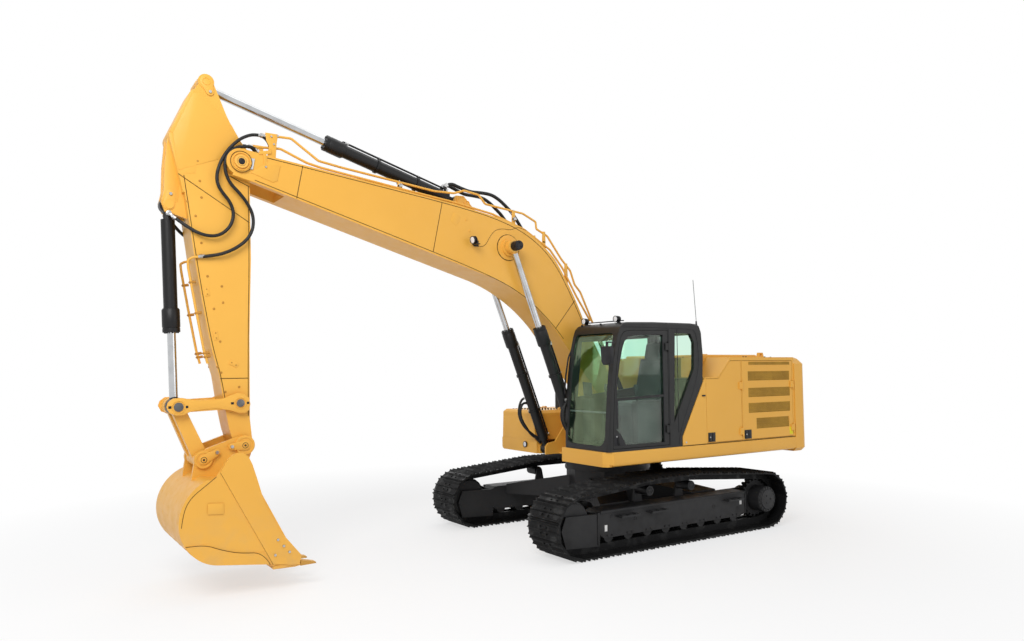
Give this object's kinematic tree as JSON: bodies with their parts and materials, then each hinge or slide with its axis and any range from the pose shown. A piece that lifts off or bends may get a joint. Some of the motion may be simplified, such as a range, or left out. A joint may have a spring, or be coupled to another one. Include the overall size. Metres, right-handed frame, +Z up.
{
  "type": "crawler excavator",
  "caption": "Crawler excavator with turning house, jointed boom, stick and bucket, cylinders, linkage, opening doors and a glazed cab.",
  "frame": {"origin": "bottom centre of the bounding box, on the ground under the middle of the whole machine", "axes": "+X forward along the digging arm, +Y to the operator's left, +Z up"},
  "size_m": [9.738, 3.245, 5.785],
  "materials": {
    "yellow_paint": "satin amber paint",
    "undercarriage_black": "black paint with dust",
    "track_steel": "dark shoe steel",
    "cab_grey": "dark grey satin paint",
    "cylinder_black": "black satin paint",
    "chrome_rod": "ground chrome",
    "pin_steel": "turned steel",
    "tooth_steel": "cast steel, dark",
    "tinted_glass": "greenish tinted glass",
    "seat_fabric": "grey woven fabric",
    "console_plastic": "dark moulded plastic",
    "lamp_lens": "clear lamp lens in a black shell",
    "engine_iron": "painted iron"
  },
  "bodies": {
    "undercarriage": {"track_left": "track_steel", "track_frame_left": "undercarriage_black", "idler_left": "undercarriage_black", "sprocket_left": "undercarriage_black", "track_right": "track_steel", "track_frame_right": "undercarriage_black", "idler_right": "undercarriage_black", "sprocket_right": "undercarriage_black", "carbody": "undercarriage_black", "swing_bearing": "undercarriage_black"},
    "house": {"revolving_frame": "yellow_paint", "counterweight": "yellow_paint", "lifting_lugs": "yellow_paint", "engine_housing": "yellow_paint", "engine_block": "engine_iron", "fuel_tank": "yellow_paint", "filler_box": "cylinder_black", "storage_box": "yellow_paint", "cab_shell": "cab_grey", "cab_glass": "tinted_glass", "operator_seat": "seat_fabric", "cab_controls": "console_plastic", "work_lamps": "lamp_lens", "boom_foot_pin": "pin_steel"},
    "left_front_door_body": {"left_front_door": "yellow_paint"},
    "left_rear_door_body": {"left_rear_door": "yellow_paint"},
    "pump_door_body": {"pump_door": "yellow_paint"},
    "hood_lid_body": {"hood_lid": "yellow_paint"},
    "storage_lid_body": {"storage_lid": "yellow_paint"},
    "cab_door_body": {"cab_door": "cab_grey", "door_glass": "tinted_glass"},
    "boom_body": {"boom": "yellow_paint", "stick_pin": "pin_steel"},
    "boom_tubes_body": {"boom_cylinder_tubes": "cylinder_black"},
    "boom_rods_body": {"boom_cylinder_rods": "chrome_rod"},
    "stick_body": {"stick": "yellow_paint"},
    "stick_tube_body": {"stick_cylinder_tube": "cylinder_black"},
    "stick_rod_body": {"stick_cylinder_rod": "chrome_rod"},
    "bucket_tube_body": {"bucket_cylinder_tube": "cylinder_black"},
    "bucket_rod_body": {"bucket_cylinder_rod": "chrome_rod"},
    "idler_links_body": {"idler_links": "yellow_paint"},
    "bucket_body": {"bucket": "yellow_paint", "bucket_teeth": "tooth_steel"},
    "power_link_body": {"power_link": "yellow_paint"}
  },
  "joints": [
    {"name": "swing", "type": "hinge", "parent": "undercarriage", "child": "house", "pos_m": [-1.6215, 0, 1.04], "axis": [0, 0, 1], "continuous": true},
    {"name": "boom_lift", "type": "hinge", "parent": "house", "child": "boom_body", "pos_m": [-1.4565, 0, 1.95], "axis": [0, -1, 0], "range_deg": [-64, 19]},
    {"name": "boom_cylinder_tilt", "type": "hinge", "parent": "house", "child": "boom_tubes_body", "pos_m": [-0.7605, 0, 1.184], "axis": [0, -1, 0], "range_deg": [-62.92, 18.82]},
    {"name": "boom_cylinder_slide", "type": "slide", "parent": "boom_tubes_body", "child": "boom_rods_body", "axis": [0.3679, 0, 0.9299], "range_m": [-1.0642, 0.318]},
    {"name": "stick_swing", "type": "hinge", "parent": "boom_body", "child": "stick_body", "pos_m": [4.0495, 0, 4.8], "axis": [0, 1, 0], "range_deg": [-77, 39]},
    {"name": "stick_cylinder_tilt", "type": "hinge", "parent": "boom_body", "child": "stick_tube_body", "pos_m": [1.0535, 0, 4.718], "axis": [0, 1, 0], "range_deg": [-7.9, 4.1]},
    {"name": "stick_cylinder_slide", "type": "slide", "parent": "stick_tube_body", "child": "stick_rod_body", "axis": [0.9604, 0, 0.2786], "range_m": [-1.0512, 0.5339]},
    {"name": "bucket_curl", "type": "hinge", "parent": "stick_body", "child": "bucket_body", "pos_m": [3.9585, 0, 1.576], "axis": [0, 1, 0], "range_deg": [-65, 85]},
    {"name": "idler_link_swing", "type": "hinge", "parent": "stick_body", "child": "idler_links_body", "pos_m": [4.0105, 0, 2.051], "axis": [0, 1, 0], "range_deg": [-45.7, 59.7]},
    {"name": "power_link_swing", "type": "hinge", "parent": "bucket_body", "child": "power_link_body", "pos_m": [4.4015, 0, 1.444], "axis": [0, 1, 0], "range_deg": [-69.9, 53.5]},
    {"name": "bucket_cylinder_tilt", "type": "hinge", "parent": "stick_body", "child": "bucket_tube_body", "pos_m": [4.7715, 0, 4.267], "axis": [0, 1, 0], "range_deg": [-0.85, 1.05]},
    {"name": "bucket_cylinder_slide", "type": "slide", "parent": "bucket_tube_body", "child": "bucket_rod_body", "axis": [-0.0482, 0, -0.9988], "range_m": [-0.4398, 0.5742]},
    {"name": "left_front_door_hinge", "type": "hinge", "parent": "house", "child": "left_front_door_body", "pos_m": [-3.0125, 1.486, 1.8], "axis": [0, 0, 1], "range_deg": [0, 95]},
    {"name": "left_rear_door_hinge", "type": "hinge", "parent": "house", "child": "left_rear_door_body", "pos_m": [-4.2185, 1.486, 1.8], "axis": [0, 0, 1], "range_deg": [0, 95]},
    {"name": "pump_door_hinge", "type": "hinge", "parent": "house", "child": "pump_door_body", "pos_m": [-4.2185, -1.486, 1.8], "axis": [0, 0, -1], "range_deg": [0, 95]},
    {"name": "hood_lid_hinge", "type": "hinge", "parent": "house", "child": "hood_lid_body", "pos_m": [-4.1155, 0, 2.576], "axis": [0, -1, 0], "range_deg": [0, 60]},
    {"name": "storage_lid_hinge", "type": "hinge", "parent": "house", "child": "storage_lid_body", "pos_m": [-1.3335, -1.015, 1.772], "axis": [0, -1, 0], "range_deg": [0, 80]},
    {"name": "cab_door_hinge", "type": "hinge", "parent": "house", "child": "cab_door_body", "pos_m": [-1.4935, 1.486, 2.1], "axis": [0, 0, 1], "range_deg": [0, 165]}
  ],
  "couplings": [
    {"joint": "boom_cylinder_tilt", "follows": "boom_lift", "ratio": 0.98},
    {"joint": "boom_cylinder_slide", "follows": "boom_lift", "m_per_rad": 0.95},
    {"joint": "stick_cylinder_tilt", "follows": "stick_swing", "ratio": 0.1},
    {"joint": "stick_cylinder_slide", "follows": "stick_swing", "m_per_rad": 0.78},
    {"joint": "idler_link_swing", "follows": "bucket_curl", "ratio": 0.7},
    {"joint": "power_link_swing", "follows": "bucket_curl", "ratio": -0.82},
    {"joint": "bucket_cylinder_tilt", "follows": "bucket_curl", "ratio": 0.01},
    {"joint": "bucket_cylinder_slide", "follows": "bucket_curl", "m_per_rad": 0.385}
  ]
}
